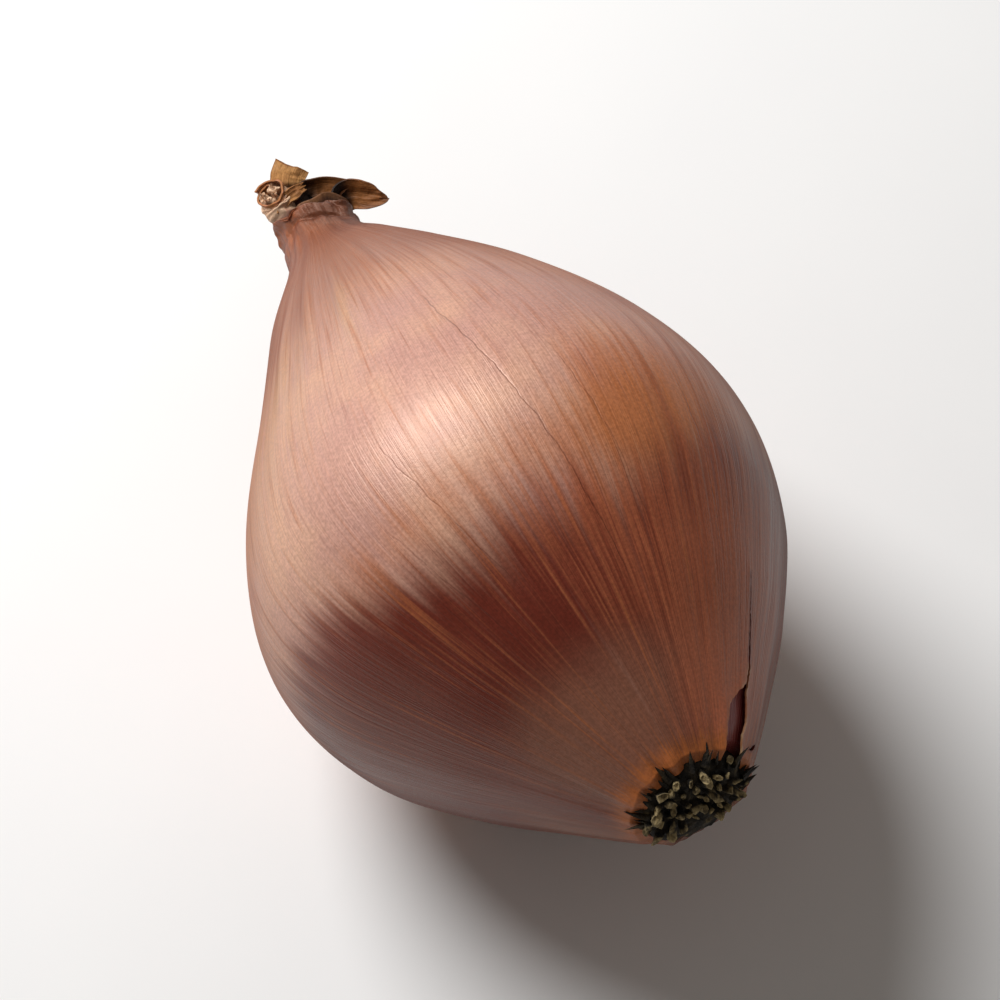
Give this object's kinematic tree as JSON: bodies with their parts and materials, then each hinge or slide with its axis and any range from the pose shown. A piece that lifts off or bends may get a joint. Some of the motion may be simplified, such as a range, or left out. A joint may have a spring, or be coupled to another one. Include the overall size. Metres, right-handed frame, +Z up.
{
  "type": "shallot bulb",
  "caption": "Whole dry shallot bulb lying on its side: papery copper skin torn near the root plate, clipped root stubs, and dry curled leaf ends at the neck.",
  "frame": {"origin": "bottom centre of the whole part's box, on the surface that it lies on", "axes": "+Z up; +X towards the root plate, along the bulb's length, which rises 14 degrees towards the root end; +Y sideways"},
  "size_m": [0.0738, 0.0416, 0.0405],
  "materials": {
    "papery_skin": "dry copper-brown papery skin with fine lengthwise fibres, satin sheen",
    "glossy_flesh": "moist maroon inner skin, glossy",
    "root_cork": "dry corky plate and clipped roots, matt",
    "curled_leaf": "dry cream leaf with a brown rim, matt",
    "tan_leaf": "dry tan leaf, satin",
    "brown_leaf": "dry dark brown leaf with lengthwise veins, satin"
  },
  "bodies": {
    "root": {"outer_skin": "papery_skin", "bulb": "glossy_flesh", "root_plate": "root_cork", "neck_roll": "curled_leaf", "neck_flap_tan": "tan_leaf", "neck_flap_long": "brown_leaf"}
  },
  "joints": []
}
